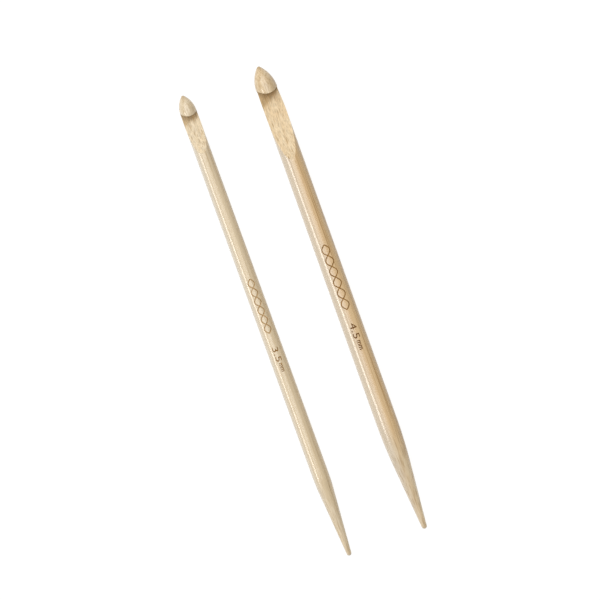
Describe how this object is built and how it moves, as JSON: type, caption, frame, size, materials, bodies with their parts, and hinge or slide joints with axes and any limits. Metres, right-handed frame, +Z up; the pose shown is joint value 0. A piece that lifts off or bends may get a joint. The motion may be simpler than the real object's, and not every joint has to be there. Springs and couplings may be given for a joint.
{
  "type": "crochet hook",
  "caption": "Slim bamboo crochet hooks lying side by side, each with a hooked head and a sloping thumb flat at one end and a needle point at the other.",
  "frame": {"origin": "middle of the footprint of both hooks, on the surface they lie on", "axes": "+Y along the hooks towards the hooked heads, +Z up, out of the throats and thumb flats, +X from the thin hook to the thick one"},
  "size_m": [0.021, 0.102, 0.0045],
  "materials": {
    "bamboo_thick": "satin waxed bamboo, light honey with fine lengthwise fibres",
    "bamboo_thin": "satin waxed bamboo, paler, with fine lengthwise fibres"
  },
  "bodies": {
    "thick_hook": {"hook_4_5_mm": "bamboo_thick"},
    "thin_hook": {"hook_3_5_mm": "bamboo_thin"}
  },
  "joints": [
    {"name": "thin_hook_lift", "type": "slide", "parent": "thick_hook", "child": "thin_hook", "axis": [0, 0, 1], "range_m": [0, 0.05]}
  ]
}
